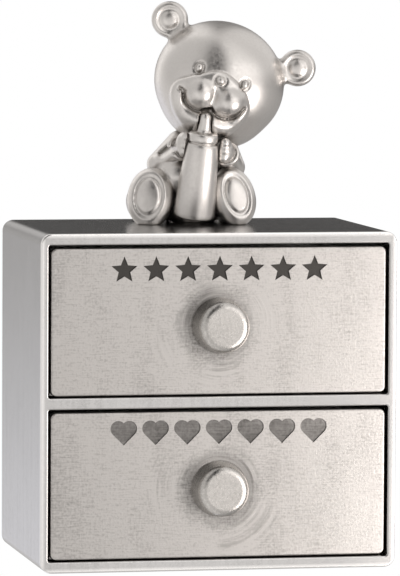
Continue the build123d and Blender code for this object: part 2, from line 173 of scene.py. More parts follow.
floor_size = 3.0
floor_grey = (0.6, 0.6, 0.6, 1)
bpy.ops.mesh.primitive_plane_add(size=floor_size, location=(0, 0, cad_box[0][2]))
floor = bpy.context.object
floor.name = "floor"
floor.visible_glossy = False
floor_material, floor_tree, floor_shader = new_material("pale_floor")
floor_shader.inputs["Base Color"].default_value = floor_grey
floor_shader.inputs["Roughness"].default_value = 0.9
white_floor = node(floor_tree, "ShaderNodeEmission", Color=(1, 1, 1, 1), Strength=1.0)
seen_floor = node(
    floor_tree, "ShaderNodeMixShader", Fac=is_camera(floor_tree), i1=floor_shader.outputs[0],
    i2=white_floor.outputs[0],
)
floor_tree.links.new(
    seen_floor.outputs[0], floor_tree.nodes["Material Output"].inputs["Surface"]
)
floor.data.materials.append(floor_material)
print("a floor", floor_size, "m wide")

# %% [markdown]
# Metal shows little but what stands round it, so the room is its drawing. Cards and screens could stand
# round the box as meshes, but it is quicker to tune a world that is all greys: a row of greys round the
# compass, at three heights. A gap of shade high up in front makes the dark band down the bear's forehead.
# A bright strip behind on the left lines the side of the case and the bear's cheek, and the roof mirrors
# the dark back wall. The camera itself sees only white.

# %% Greys of the room
# Degrees from straight in front towards the right, and the grey there, at three heights
low_greys = [
    (-180, 0.6), (-168, 0.92), (-150, 1.0), (-130, 0.8), (-100, 0.7), (-60, 0.85), (-36, 1.0),
    (-8, 0.78), (20, 0.6), (62, 0.5), (100, 0.45), (150, 0.4), (180, 0.6),
]
level_greys = [
    (-180, 0.05), (-174, 0.3), (-168, 0.42), (-161, 0.95), (-146, 1.4), (-134, 0.8), (-105, 0.6),
    (-40, 0.9), (-26, 0.75), (-8, 0.68), (6, 0.68), (22, 0.42), (62, 0.45), (100, 0.4), (135, 0.22),
    (158, 0.06), (180, 0.05),
]
high_greys = [
    (-180, 0.9), (-165, 0.95), (-146, 1.3), (-130, 0.65), (-60, 0.66), (-47, 0.7), (-35, 0.36),
    (-25, 0.02), (3, 0.01), (9, 0.85), (14, 1.3), (28, 1.1), (50, 0.9), (80, 0.72), (120, 0.85),
    (147, 0.8), (156, 0.22), (172, 0.2), (180, 0.9),
]
cool, warm = (0.955, 0.95, 1.0), (1.0, 0.975, 0.955)
tinted_from, tinted_to = -175, -130
# Heights of a direction, from -1 straight down to 1 straight up, where one row goes over to the next
low_to_level = (-0.14, -0.05)
level_to_high = (0.11, 0.24)
print("greys at", len(low_greys), len(level_greys), "and", len(high_greys), "places round the compass")

# %% [markdown]
# A direction in the room is three numbers. The arctangent of two of them gives the turn round the
# compass, which picks a grey from a colour ramp, and the third goes over from one ramp to the next. A
# picture of a studio, wrapped round the scene, would do the same, but a ramp can be read and changed.

# %% World
world = bpy.data.worlds.new("studio")
bpy.context.scene.world = world
world.use_nodes = True
sky = world.node_tree
sky.nodes.clear()
looking = node(sky, "ShaderNodeTexCoord").outputs["Generated"]
way = node(sky, "ShaderNodeSeparateXYZ", Vector=looking).outputs
turn = calc(sky, "ARCTAN2", way["X"], calc(sky, "MULTIPLY", way["Y"], -1.0))
round_the_compass = span(sky, turn, -pi, pi, 0.0, 1.0)


def compass(greys, left_tint):
    """Greys round the compass, as a ramp, with a tint of its own far round to the left."""
    ramp = node(sky, "ShaderNodeValToRGB", Fac=round_the_compass)
    ramp.color_ramp.interpolation = "EASE"
    stops = ramp.color_ramp.elements
    for degrees, grey in greys[1:-1]:
        stops.new((degrees + 180) / 360)
    for stop, (degrees, grey) in zip(stops, greys):
        tint = left_tint if tinted_from < degrees < tinted_to else warm
        stop.color = (*(grey * part for part in tint), 1)
    return ramp.outputs[0]


def by_height(lower, upper, heights):
    """Go over from one ramp to another between two heights of the direction."""
    raised = node(
        sky, "ShaderNodeMapRange", {"interpolation_type": "SMOOTHSTEP"}, Value=way["Z"],
        **{"From Min": heights[0], "From Max": heights[1]},
    ).outputs[0]
    return blend(sky, raised, lower, upper)


lower_half = by_height(compass(low_greys, cool), compass(level_greys, warm), low_to_level)
whole_room = by_height(lower_half, compass(high_greys, warm), level_to_high)
grey_room = node(sky, "ShaderNodeBackground", Color=whole_room, Strength=1.0)
white_room = node(sky, "ShaderNodeBackground", Color=(1, 1, 1, 1), Strength=1.0)
seen_room = node(
    sky, "ShaderNodeMixShader", Fac=is_camera(sky), i1=grey_room.outputs[0],
    i2=white_room.outputs[0],
)
node(sky, "ShaderNodeOutputWorld", Surface=seen_room.outputs[0])
bpy.context.scene.view_settings.view_transform = "Standard"
print("the room has", len(sky.nodes), "nodes")

# %% [markdown]
# A world is endlessly far away, so it lights both ends of a drawer front alike. In the photograph the
# right end is much lighter, and only a light that stands close can do that. So a small bright panel
# stands low, near the right corner. A second one, large and faint, stands to the right of the camera. A
# panel's brightness is given as what it looks like, and turned into watts with its area.

# %% Lamps
def panel(name, place, aim, size, brightness, colour):
    """A soft panel at a place, turned to face a point, in millimetres."""
    lamp = bpy.data.lights.new(name, "AREA")
    lamp.shape = "RECTANGLE"
    lamp.size, lamp.size_y = size[0] * MM, size[1] * MM
    lamp.energy = brightness * pi * lamp.size * lamp.size_y
    lamp.color = colour
    held = bpy.data.objects.new(name, lamp)
    held.location = Vector(place) * MM
    held.rotation_euler = (Vector(aim) * MM - held.location).to_track_quat("-Z", "Y").to_euler()
    held.visible_camera = False
    bpy.context.scene.collection.objects.link(held)
    print(name, round(lamp.energy, 3), "W")


panel(
    "right_panel", place=(147, -217, 75), aim=(0, 0, 45), size=(330, 330), brightness=0.45,
    colour=(1.0, 0.965, 0.945),
)
panel(
    "near_panel", place=(108, -118, -12), aim=(15, -18, 18), size=(95, 130), brightness=4.2,
    colour=(1.0, 0.93, 0.89),
)

# %% [markdown]
# The outer edges of the case's front rim show thin bright lines. Here they are a painted highlight: a
# light colour is mixed in by place, within a fraction of a millimetre of the case's outer edges, and only
# at the front. It could be a piece of its own, but on the real box it is the same casting.

# %% Painted highlight on the rim
case_low, case_high = (tuple(part / MM for part in spot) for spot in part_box("cabinet_shell"))
# The painted highlight on the rim's outer edges: where it is full and where it starts, in millimetres in
# from the edge, how far back from the front it reaches, and its colour
rim_highlight_full, rim_highlight_start = 0.3, 0.75
front_reach = 0.8
rim_highlight_colour = (0.9, 0.89, 0.88, 1)


def paint_rim_highlight(tree, position, colour):
    """Painted highlight: a lighter colour along the outer edges of the front rim."""
    place = node(tree, "ShaderNodeSeparateXYZ", Vector=position).outputs
    share = 0.0
    for value, edge, inward in (
        (calc(tree, "ABSOLUTE", place["X"]), case_high[0], -1),
        (place["Z"], case_high[2], -1),
        (place["Z"], case_low[2], 1),
    ):
        plain, bright = (edge + inward * distance for distance in (rim_highlight_start, rim_highlight_full))
        share = calc(tree, "MAXIMUM", share, span(tree, value, plain * MM, bright * MM, 0.0, 1.0))
    front = span(
        tree, place["Y"], (case_low[1] + front_reach) * MM, (case_low[1] + rim_highlight_full) * MM, 0.0, 1.0
    )
    return blend(tree, calc(tree, "MULTIPLY", share, front), colour, rim_highlight_colour)


print("the rim lies", round(-case_low[1], 2), "mm in front of the middle")

# %% [markdown]
# Each drawer front looks as if it was rubbed with its knob on: there are faint rings in patches. Round
# the knob's foot the metal is darkened with a painted shade. The rings could be painted, but both marks
# follow from one value, the distance from the nearer knob's axis: noise that is read along that distance
# runs in rings. They are kept to the outer face.

# %% Swirls round the knobs, and painted shade at their foot
knob_middles = [sum(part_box(name), Vector()) / 2 for name in ("upper_knob", "lower_knob")]
swirl_inner, swirl_outer = 6.5 * MM, 12.5 * MM
swirl_closeness, swirl_scale = 30.0, 70.0
patch_scale, patch_range, patch_strength = 110.0, (0.45, 0.6), 0.9
# Painted shade round each knob's foot: full at the inner distance, gone at the outer one
knob_shade_inner, knob_shade_outer, knob_shade_darkness = 4.2 * MM, 7.2 * MM, 0.45
haze_stretch, haze_range, haze_darkness = (170, 60, 45), (0.35, 0.65), 0.1


def from_knob(tree, position):
    """Distance from the axis of the nearer knob."""
    flat = stretched(tree, position, (1, 0, 1))
    return calc(tree, "MINIMUM", *(
        node(
            tree, "ShaderNodeVectorMath", {"operation": "DISTANCE"}, i0=flat,
            i1=(middle.x, 0, middle.z),
        ).outputs["Value"]
        for middle in knob_middles
    ))


def swirls(tree, position, marks):
    """The rub marks with rings in them, and the darkness of the haze and of painted shade at the knob."""
    away = from_knob(tree, position)
    place = node(tree, "ShaderNodeSeparateXYZ", Vector=position).outputs
    facing = calc(tree, "LESS_THAN", place["Y"], (case_low[1] + front_reach) * MM)
    ringed = node(
        tree, "ShaderNodeCombineXYZ", X=calc(tree, "MULTIPLY", away, swirl_closeness),
        Y=place["X"], Z=place["Z"],
    ).outputs[0]
    rings = noise(tree, ringed, swirl_scale, detail=3.0)
    reach = calc(tree, "MULTIPLY", span(tree, away, swirl_inner, swirl_outer, 1.0, 0.0), facing)
    patches = span(tree, noise(tree, position, patch_scale), *patch_range, 0.0, patch_strength)
    share = calc(tree, "MULTIPLY", reach, patches)
    swirled = node(tree, "ShaderNodeMix", Factor=share, i2=marks, i3=rings).outputs[0]
    cloudy = noise(tree, stretched(tree, position, haze_stretch), 1.0)
    haze = span(tree, cloudy, *haze_range, -haze_darkness, haze_darkness)
    # Painted shade, darkest at the knob's foot, on the outer face only
    painted_knob_shade = calc(tree, "MULTIPLY", span(tree, away, knob_shade_inner, knob_shade_outer, knob_shade_darkness, 0.0), facing)
    return swirled, calc(tree, "ADD", haze, painted_knob_shade)


print("knobs at", [tuple(round(part / MM, 1) for part in middle) for middle in knob_middles], "mm")

# %% [markdown]
# Stars are sunk into the upper front and hearts into the lower one, and their floors hold dark enamel.
# The floors are faces of the drawer itself, so they are found by place: a box round each row, as deep as
# the floors lie. Inlays could be cut for them, but a colour by place needs no new mesh. The hearts look
# more worn, so their enamel is fainter.

# %% Enamel in the stars and hearts
motif_row_reach, motif_height_reach = 17.5, 2.8
motif_floor, motif_floor_reach = -17.45, 0.15
star_row, heart_row = 46.1, 21.1
heart_fill = 0.62
enamel = (0.07, 0.066, 0.062, 1)


def about(tree, value, middle, reach):
    """One where a value is within reach of a middle, both in millimetres, and nought elsewhere."""
    return calc(tree, "COMPARE", value, middle * MM, reach * MM)


def fill_sunk(tree, position, colour):
    """Dark enamel in the floors of the sunk stars and hearts."""
    place = node(tree, "ShaderNodeSeparateXYZ", Vector=position).outputs
    across = about(tree, place["X"], 0.0, motif_row_reach)
    deep = about(tree, place["Y"], motif_floor, motif_floor_reach)
    hearts = calc(tree, "MULTIPLY", about(tree, place["Z"], heart_row, motif_height_reach), heart_fill)
    rows = calc(tree, "ADD", hearts, about(tree, place["Z"], star_row, motif_height_reach))
    filled = calc(tree, "MULTIPLY", calc(tree, "MULTIPLY", across, deep), rows)
    return blend(tree, filled, colour, enamel)


print("rows at", heart_row, "and", star_row, "mm above the ground")

# %% [markdown]
# The finish is pewter plating, darkened in a bath and then rubbed back. One recipe makes every grade of
# it. It mixes a worn light colour with the dark that stays in hollows, and adds rub marks, cloudy stains
# and a little grain, which also roughen the surface by a hair. Where a mesh is fine, its own pointiness
# tells the hollows from the edges. The figure is so finely meshed that pointiness sees only the tiniest
# creases, so it carries a value of its own for each point, which the recipe reads by name.

# %% The pewter recipe
stain_scale, grain_scale = 130.0, 2600.0
noted_range, pointed_range = (0.18, 0.75), (0.42, 0.5)
stain_range, fleck_range, sheen_range = (0.4, 0.75), (0.4, 0.6), (0.3, 0.7)
roughness_spread = 0.07
mark_height = 0.0002


def pewter(
    name, light, dark, roughness, brush=(), mark_depth=0.02, stain=0.5, hollow=0.5, hollow_name="",
    fleck=0.03, sunk_fill=False, knob_shade_on=False, rim_highlight_on=False,
):
    """Antiqued plating: light where it is rubbed, dark in hollows, with rub marks along axes."""
    material, tree, shader = new_material(name)
    position = object_position(tree)
    marks = noise(tree, position, grain_scale, detail=3.0)
    for scales, weight in brush:
        line = noise(tree, stretched(tree, position, scales), 1.0, detail=4.0, roughness=0.6)
        marks = calc(tree, "MULTIPLY_ADD", line, weight, marks)
    marks = calc(tree, "MULTIPLY", marks, 1.0 / (1 + sum(weight for scales, weight in brush)))
    if hollow_name:
        noted = node(tree, "ShaderNodeAttribute", {"attribute_name": hollow_name}).outputs["Fac"]
        unworn = span(tree, noted, *noted_range, 0.0, 1.0)
    else:
        pointed = node(tree, "ShaderNodeNewGeometry").outputs["Pointiness"]
        unworn = span(tree, pointed, *pointed_range, 1.0, 0.0)
    clouds = noise(tree, position, stain_scale, detail=6.0, roughness=0.65)
    stains = span(tree, clouds, *stain_range, 0.0, stain)
    darkness = calc(tree, "MAXIMUM", stains, calc(tree, "MULTIPLY", unworn, hollow), clamp=True)
    # Painted shade round the foot of each knob
    if knob_shade_on:
        marks, painted_knob_shade = swirls(tree, position, marks)
        darkness = calc(tree, "ADD", darkness, painted_knob_shade, clamp=True)
    flecks = span(tree, marks, *fleck_range, -fleck, fleck)
    darkness = calc(tree, "ADD", darkness, flecks, clamp=True)
    colour = blend(tree, darkness, (*light, 1), (*dark, 1))
    # A painted highlight along the outer edges of the front rim
    if rim_highlight_on:
        colour = paint_rim_highlight(tree, position, colour)
    if sunk_fill:
        colour = fill_sunk(tree, position, colour)
    tree.links.new(colour, shader.inputs["Base Color"])
    smooth, rough = roughness - roughness_spread, roughness + roughness_spread
    sheen = span(tree, marks, *sheen_range, smooth, rough)
    tree.links.new(sheen, shader.inputs["Roughness"])
    shader.inputs["Metallic"].default_value = 1.0
    bump = node(
        tree, "ShaderNodeBump", Height=marks, Strength=mark_depth, Distance=mark_height
    )
    tree.links.new(bump.outputs[0], shader.inputs["Normal"])
    print(name, len(tree.nodes), "nodes")
    return material


# %% [markdown]
# The recipe is used at five grades. The case is brushed upright and mirrors the room. The fronts are
# brushed across, with fine short marks that catch the light. The knobs are stained. The figure is left
# satin, because brushing would spoil its modelling, and the screws are bright steel. A brush is given as
# how much the noise is squeezed along each axis, and its weight among the marks.

# %% Grades of pewter
across_front, up_front = ((420, 5200, 5200), 1.2), ((5200, 5200, 420), 0.45)
across_case, up_case = ((18, 900, 900), 0.35), ((900, 900, 18), 1.0)
case_light, front_light = (0.57, 0.565, 0.56), (0.572, 0.552, 0.532)
knob_light, figure_light = (0.6, 0.58, 0.555), (0.745, 0.72, 0.695)
steel_light, steel_dark = (0.6, 0.6, 0.6), (0.2, 0.2, 0.2)
patina, thin_patina = (0.08, 0.075, 0.07), (0.36, 0.34, 0.32)
case_metal = pewter(
    "case_pewter", case_light, patina, roughness=0.2, brush=(across_case, up_case), mark_depth=0.02,
    stain=0.1, fleck=0.06, rim_highlight_on=True,
)
front_metal = pewter(
    "front_pewter", front_light, patina, roughness=0.33, brush=(across_front, up_front),
    mark_depth=0.22, stain=0.12, fleck=0.24, sunk_fill=True, knob_shade_on=True,
)
knob_metal = pewter(
    "knob_pewter", knob_light, patina, roughness=0.29, mark_depth=0.12, stain=0.2, fleck=0.08
)
figure_metal = pewter(
    "figure_pewter", figure_light, thin_patina, roughness=0.35, mark_depth=0.004, stain=0.04,
    hollow=0.9, hollow_name="hollow",
)
screw_metal = pewter("screw_steel", steel_light, steel_dark, roughness=0.22)

# %% [markdown]
# Case, drawers, knobs and screws are shown as they were built, so each only takes its finish. Sculpted
# pieces stand for the three nodes of the figure further on, and those nodes take theirs as well.

# %% Finishes on the nodes
finishes = {
    "cabinet_shell": case_metal,
    "back_panel": case_metal,
    "upper_drawer_tray": front_metal,
    "lower_drawer_tray": front_metal,
    "upper_knob": knob_metal,
    "lower_knob": knob_metal,
    "bear_body": figure_metal,
    "bear_head": figure_metal,
    "feeding_bottle": figure_metal,
    "bear_screws": screw_metal,
    "upper_knob_screw": screw_metal,
    "lower_knob_screw": screw_metal,
}
for name, material in finishes.items():
    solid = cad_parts[name]
    solid.data.materials.clear()
    solid.data.materials.append(material)
print("finishes on", len(finishes), "nodes")

# %% [markdown]
# The bear is cast in three pieces: body, head and bottle. Soft masses that flow into each other are
# awkward to model face by face, so they are described by distance instead. Each mass has a rule that
# gives the distance from any point to its surface, below nought inside. Two masses join by a smooth
# minimum, whose softness is a length: a tenth of a millimetre leaves a crease, two millimetres leave none.

# %% Distance to masses, all in millimetres
def ball(points, middle, radius):
    """Distance to a ball."""
    return np.linalg.norm(points - np.asarray(middle, "f4"), axis=-1) - radius


def oval(points, middle, radii):
    """Nearly the distance to an oval with three half sizes."""
    radii = np.asarray(radii, "f4")
    local = points - np.asarray(middle, "f4")
    near = np.linalg.norm(local / radii, axis=-1)
    far = np.linalg.norm(local / radii**2, axis=-1)
    return near * (near - 1) / np.maximum(far, 1e-6)


def limb(points, start, start_radius, end, end_radius):
    """Distance to a round taper between two points."""
    start, end = np.asarray(start, "f4"), np.asarray(end, "f4")
    way = end - start
    share = np.clip((points - start) @ way / (way @ way), 0, 1)
    middle = start + share[..., None] * way
    radius = start_radius + share * (end_radius - start_radius)
    return np.linalg.norm(points - middle, axis=-1) - radius


def join(first, second, softness):
    """The nearer of two surfaces, blended where they are about as near."""
    share = np.clip(0.5 + 0.5 * (second - first) / softness, 0, 1)
    return second * (1 - share) + first * share - softness * share * (1 - share)


def remove(first, second, softness):
    """The first surface with the second taken out of it."""
    return -join(-first, second, softness)


sample_spot = np.array((5.0, 0.0, 0.0), "f4")
print("from 5 mm out, a ball of radius 2 is", float(ball(sample_spot, (0, 0, 0), 2.0)), "mm away")

# %% [markdown]
# The mouth, the cleft between the lips and the groove round a pad are lines pressed into the surface. A
# line is drawn on the front of the piece, as straight stretches and arcs, and a small amount is added to
# the distance near it, fading to both sides. Adding a little along a line is far easier than cutting it.

# %% Distance to lines, and grooves along them
def line_gap(across, up, start, end):
    """Distance in a plane to a straight stretch."""
    start, end = np.asarray(start, "f4"), np.asarray(end, "f4")
    way = end - start
    share = np.clip(((across - start[0]) * way[0] + (up - start[1]) * way[1]) / (way @ way), 0, 1)
    return np.hypot(across - start[0] - share * way[0], up - start[1] - share * way[1])


def arc_points(start, low, end, count=14):
    """Points of the arc through three places."""
    (ax, ay), (bx, by), (cx, cy) = start, low, end
    d = 2 * (ax * (by - cy) + bx * (cy - ay) + cx * (ay - by))
    ux = ((ax**2 + ay**2) * (by - cy) + (bx**2 + by**2) * (cy - ay) + (cx**2 + cy**2) * (ay - by)) / d
    uy = ((ax**2 + ay**2) * (cx - bx) + (bx**2 + by**2) * (ax - cx) + (cx**2 + cy**2) * (bx - ax)) / d
    first, last = np.arctan2(ay - uy, ax - ux), np.arctan2(cy - uy, cx - ux)
    middle = np.arctan2(by - uy, bx - ux)
    sweep = (last - first) % (2 * pi)
    if (middle - first) % (2 * pi) > sweep:
        sweep -= 2 * pi
    turns = first + sweep * np.linspace(0, 1, count)
    radius = np.hypot(ax - ux, ay - uy)
    return np.stack([ux + radius * np.cos(turns), uy + radius * np.sin(turns)], axis=1)


def path_gap(across, up, path):
    """Distance in a plane to a bent line."""
    gap = np.full(across.shape, 1e3, "f4")
    for start, end in zip(path[:-1], path[1:]):
        gap = np.minimum(gap, line_gap(across, up, start, end))
    return gap


def groove(gap, width, depth):
    """A soft-edged groove of a width and depth, along a line."""
    return depth * np.exp(-((gap / width) ** 2))


def in_front(points, start, fade):
    """Nought behind a place and one before it, so that a line marks only the front of a piece."""
    return np.clip((-points[..., 1] - start) / fade, 0, 1)


print("a groove 0.4 deep is", round(float(groove(0.3, 0.3, 0.4)), 2), "deep at its width")

# %% [markdown]
# To turn a distance rule into a mesh, it is read on a grid. Blender's own remeshing works on a mesh that
# is already there, so this step is done here: each grid cell that the surface passes through gets one
# point, at the mean of the places where the surface crosses the cell's edges.

# %% Points of the surface
cell_corners = [(i, j, k) for i in (0, 1) for j in (0, 1) for k in (0, 1)]


def read_grid(shape, axes):
    """The distance at every place of a grid, one slice at a time."""
    field = np.empty([len(axis) for axis in axes], "f4")
    flat = np.stack(np.meshgrid(axes[1], axes[2], indexing="ij"), axis=-1)
    for index, x in enumerate(axes[0]):
        field[index] = shape(
            np.concatenate([np.full((*flat.shape[:2], 1), x, "f4"), flat], axis=-1)
        )
    return field


def crossed_cells(inside):
    """The cells that the surface passes through, and a grid with their numbers."""
    sizes = [count - 1 for count in inside.shape]
    total = np.zeros(sizes, "i1")
    for corner in cell_corners:
        total += inside[tuple(slice(c, c + n) for c, n in zip(corner, sizes))]
    active = (total > 0) & (total < len(cell_corners))
    cells = np.argwhere(active)
    number = np.full(active.shape, -1, "i4")
    number[active] = np.arange(len(cells))
    return cells, number


def cell_points(field, cells):
    """One point in each cell, in grid steps."""
    values = [field[tuple((cells + corner).T)] for corner in cell_corners]
    crossing = np.zeros((len(cells), 3), "f4")
    crossed = np.zeros(len(cells), "f4")
    for first, a in enumerate(cell_corners):
        for second, b in enumerate(cell_corners):
            if second > first and sum(abs(p - q) for p, q in zip(a, b)) == 1:
                change = (values[first] < 0) != (values[second] < 0)
                gap = np.where(change, values[first] - values[second], 1)
                share = np.where(change, values[first] / gap, 0)[:, None]
                spot = np.asarray(a, "f4") + share * (np.asarray(b, "f4") - np.asarray(a, "f4"))
                crossing += np.where(change[:, None], spot, 0)
                crossed += change
    return cells + crossing / crossed[:, None]


print("a cell has", len(cell_corners), "corners")

# %% [markdown]
# Four cells meet round each edge of the grid. Where the surface crosses that edge, the points of the four
# cells make one face, turned so that its outer side looks outward. The result is all quads, and closed.

# %% Faces of the surface
def cell_faces(inside, number):
    """A face of four cells round each grid edge that the surface crosses."""
    counts = inside.shape
    faces = []
    for axis in range(3):
        one, two = [other for other in range(3) if other != axis]
        ahead = [slice(None)] * 3
        behind = [slice(None)] * 3
        ahead[axis], behind[axis] = slice(1, None), slice(None, -1)
        start, end = inside[tuple(behind)], inside[tuple(ahead)]
        spots = np.argwhere(start != end)
        keep = (spots[:, one] > 0) & (spots[:, two] > 0)
        keep &= (spots[:, one] < counts[one] - 1) & (spots[:, two] < counts[two] - 1)
        spots = spots[keep]
        ring = []
        for back_one, back_two in ((1, 1), (0, 1), (0, 0), (1, 0)):
            cell = spots.copy()
            cell[:, one] -= back_one
            cell[:, two] -= back_two
            ring.append(number[tuple(cell.T)])
        quads = np.stack(ring, axis=1)
        outward = start[tuple(spots.T)] ^ (axis == 1)
        quads[~outward] = quads[~outward][:, ::-1]
        faces.append(quads)
    return np.concatenate(faces)


def surface_net(shape, low, high, step):
    """Points and faces of the surface where a distance rule is nought."""
    axes = [np.arange(a, b + step, step, dtype="f4") for a, b in zip(low, high)]
    field = read_grid(shape, axes)
    cells, number = crossed_cells(field < 0)
    points = np.asarray(low, "f4") + step * cell_points(field, cells)
    return points, cell_faces(field < 0, number)


def ball_of_one(points):
    """Distance to a ball of radius one."""
    return ball(points, (0, 0, 0), 1.0)


print("a small ball takes", len(surface_net(ball_of_one, (-1.5,) * 3, (1.5,) * 3, 0.25)[1]), "faces")

# %% [markdown]
# The points still show the grid a little. They are slid onto the exact surface, along the slope of the
# distance, until no trace of it is left. The same slope shows the way out of the metal, and along it each
# point looks for other surfaces close by. Where there are some, a cloth couldn't reach, and the patina
# stays. Blender could bake such a shade as well, but the distance rule gives it at once.

# %% Settling, and hollows
hollow_reaches = ((0.15, 1.0), (0.4, 0.9), (1.0, 0.6), (2.2, 0.35))
least_steepness, slide_share = 0.2, 0.9


def slope_at(shape, points, nudge=0.02):
    """The direction in which the distance grows, at each point."""
    slope = np.empty_like(points)
    for axis in range(3):
        step = np.zeros(3, "f4")
        step[axis] = nudge
        slope[:, axis] = (shape(points + step) - shape(points - step)) / (2 * nudge)
    return slope


def settle(shape, points, rounds=3):
    """Slide points onto the surface, along the slope of the distance."""
    for _ in range(rounds):
        slope = slope_at(shape, points)
        steep = np.maximum((slope**2).sum(axis=1), least_steepness)
        points = points - (shape(points) / steep)[:, None] * slope * slide_share
    return points


def hollow_at(shape, around, points):
    """How deep in a hollow each point lies: how near other surfaces are, a little way out from it."""
    outward = slope_at(shape, points)
    outward /= np.maximum(np.linalg.norm(outward, axis=1), 1e-3)[:, None]
    near = np.zeros(len(points), "f4")
    for reach, weight in hollow_reaches:
        gap = around(points + outward * reach)
        near = np.maximum(near, weight * np.clip(1 - gap / reach, 0, 1))
    return near


print("hollows are felt out to", hollow_reaches[-1][0], "mm")

# %% [markdown]
# The bear sits on the roof, towards the back, turned a little to the left, and its head leans to one
# side. Head and body are easiest to describe upright, each in a frame of its own. A matrix takes points
# from one frame into the other, so that the body can make room for the head, and the head for the teat.

# %% Where head and bottle stand in the figure
figure_place = Vector((0.825, 9.3, 51.6))
figure_turn = -9
figure_matrix = Matrix.Translation(figure_place) @ Matrix.Rotation(radians(figure_turn), 4, "Z")
head_place = Vector((4.386, -0.752, 21.896))
head_turn, head_lean = -2.5, 20.5
head_turned = Matrix.Rotation(radians(head_turn), 4, "Z") @ Matrix.Rotation(radians(head_lean), 4, "Y")
head_matrix = Matrix.Translation(head_place) @ head_turned
head_into = np.array(head_matrix.inverted(), "f4")
head_out = np.array(head_matrix, "f4")
bottle_foot = np.array((0.19, -8.0, 1.2))
bottle_tip = np.array((1.97, -10.24, 17.12))
bottle_way = bottle_tip - bottle_foot
along_bottle = bottle_way / np.linalg.norm(bottle_way)
teat_heights = (13.2, 16.4)


def in_head(points):
    """Points of the figure, in the head's own frame."""
    return points @ head_into[:3, :3].T + head_into[:3, 3]


def out_of_head(points):
    """Points of the head, in the figure's frame."""
    return points @ head_out[:3, :3].T + head_out[:3, 3]


teat_low, teat_high = (
    in_head((bottle_foot + along_bottle * height).astype("f4")) for height in teat_heights
)
print("the teat meets the mouth at", teat_high.round(2), "in the head's frame")

# %% [markdown]
# The muzzle is a rounded triangle that stands about a millimetre proud of the face, with a crisp crease
# all along its upper edge. A ball would give it a round outline, so the outline was read off the
# photograph: the camera's rays were followed to the skull, and each point was written down as a direction
# in degrees and a distance from the muzzle's middle. The table is then smoothed.

# %% Muzzle
muzzle_middle = (-0.4, -3.0)
muzzle_face = ((-0.3, -3.4, -2.0), (9.3, 7.1, 8.0))
muzzle_rounding, muzzle_slant = 0.6, 0.93
muzzle_edge = {
    3: 6.3, 26: 5.75, 58: 5.1, 96: 4.95, 120: 4.4, 152: 4.95, 170: 6.3, 186: 6.5, 205: 6.1, 229: 5.9,
    270: 6.2, 318: 6.0, 335: 6.0,
}


def smooth_edge(table, count=720, spread=14):
    """A closed outline as distances at even turns, from a few directions, smoothed."""
    turns = np.arange(count) * 360 / count
    keys = np.array(sorted(table), "f4")
    values = np.array([table[key] for key in sorted(table)], "f4")
    rough = np.interp(turns, keys, values, period=360)
    reach = np.arange(-4 * spread, 4 * spread + 1)
    weights = np.exp(-(reach**2) / (2 * spread**2))
    shifted = [np.roll(rough, int(step)) * weight for step, weight in zip(reach, weights)]
    return (np.sum(shifted, axis=0) / weights.sum()).astype("f4")


muzzle_outline = smooth_edge(muzzle_edge)


def muzzle_shape(points):
    """Distance to the muzzle: its outline, closed in front by a flat oval, with a rounded edge."""
    across, up = points[..., 0] - muzzle_middle[0], points[..., 2] - muzzle_middle[1]
    turn = np.degrees(np.arctan2(up, across)) % 360
    edge = np.interp(turn, np.arange(721) / 2, np.append(muzzle_outline, muzzle_outline[0]))
    side = (np.hypot(across, up) - edge) * muzzle_slant + muzzle_rounding
    face = oval(points, *muzzle_face) + muzzle_rounding
    corner = np.hypot(np.maximum(side, 0), np.maximum(face, 0)) - muzzle_rounding
    return corner + np.minimum(np.maximum(side, face), 0)


nearest, farthest = (float(part) for part in (muzzle_outline.min(), muzzle_outline.max()))
print("the muzzle's edge is", round(nearest, 2), "to", round(farthest, 2), "mm from its middle")

# %% [markdown]
# An ear is a thick disc with a rounded edge. Its front has a ring-shaped hollow, and a low dome stands in
# the hollow, which catches a small light of its own. The second ear could be a mirrored copy, but here
# one rule makes both: it only looks at how far a point is from the middle, whichever side it is on.

# %% Ears
ear_middle = (10.65, 6.4)
ear_radius, ear_half_thickness, ear_rounding = 2.85, 1.25, 0.85
ear_hollow_radius, ear_hollow_width, ear_hollow_depth = 1.62, 0.5, 0.3
ear_dome_radius, ear_dome_height = 1.35, 0.2


def ear_shape(points):
    """Distance to the ears: rimmed discs with a hollow and a soft dome in it."""
    out = np.hypot(np.abs(points[..., 0]) - ear_middle[0], points[..., 2] - ear_middle[1])
    side = out - ear_radius + ear_rounding
    face = np.abs(points[..., 1]) - ear_half_thickness + ear_rounding
    disc = np.hypot(np.maximum(side, 0), np.maximum(face, 0)) - ear_rounding
    disc = disc + np.minimum(np.maximum(side, face), 0)
    front = in_front(points, start=0.1, fade=0.5)
    disc = disc + front * groove(out - ear_hollow_radius, ear_hollow_width, ear_hollow_depth)
    dome = ear_dome_height * np.clip(1 - (out / ear_dome_radius) ** 2, 0, 1)
    return disc - front * dome


print("ears", 2 * ear_radius, "mm across,", round(2 * ear_middle[0], 1), "mm apart")

# %% [markdown]
# Two round lips hang over the mouth, with a cleft between them under a bead for the nose. The mouth is
# two arcs that meet at the cleft and turn up at the ends. Under it the jaw lies deeper, and that step is
# what makes the lips stand out. Each eye is an upright bead in a ring-shaped groove.

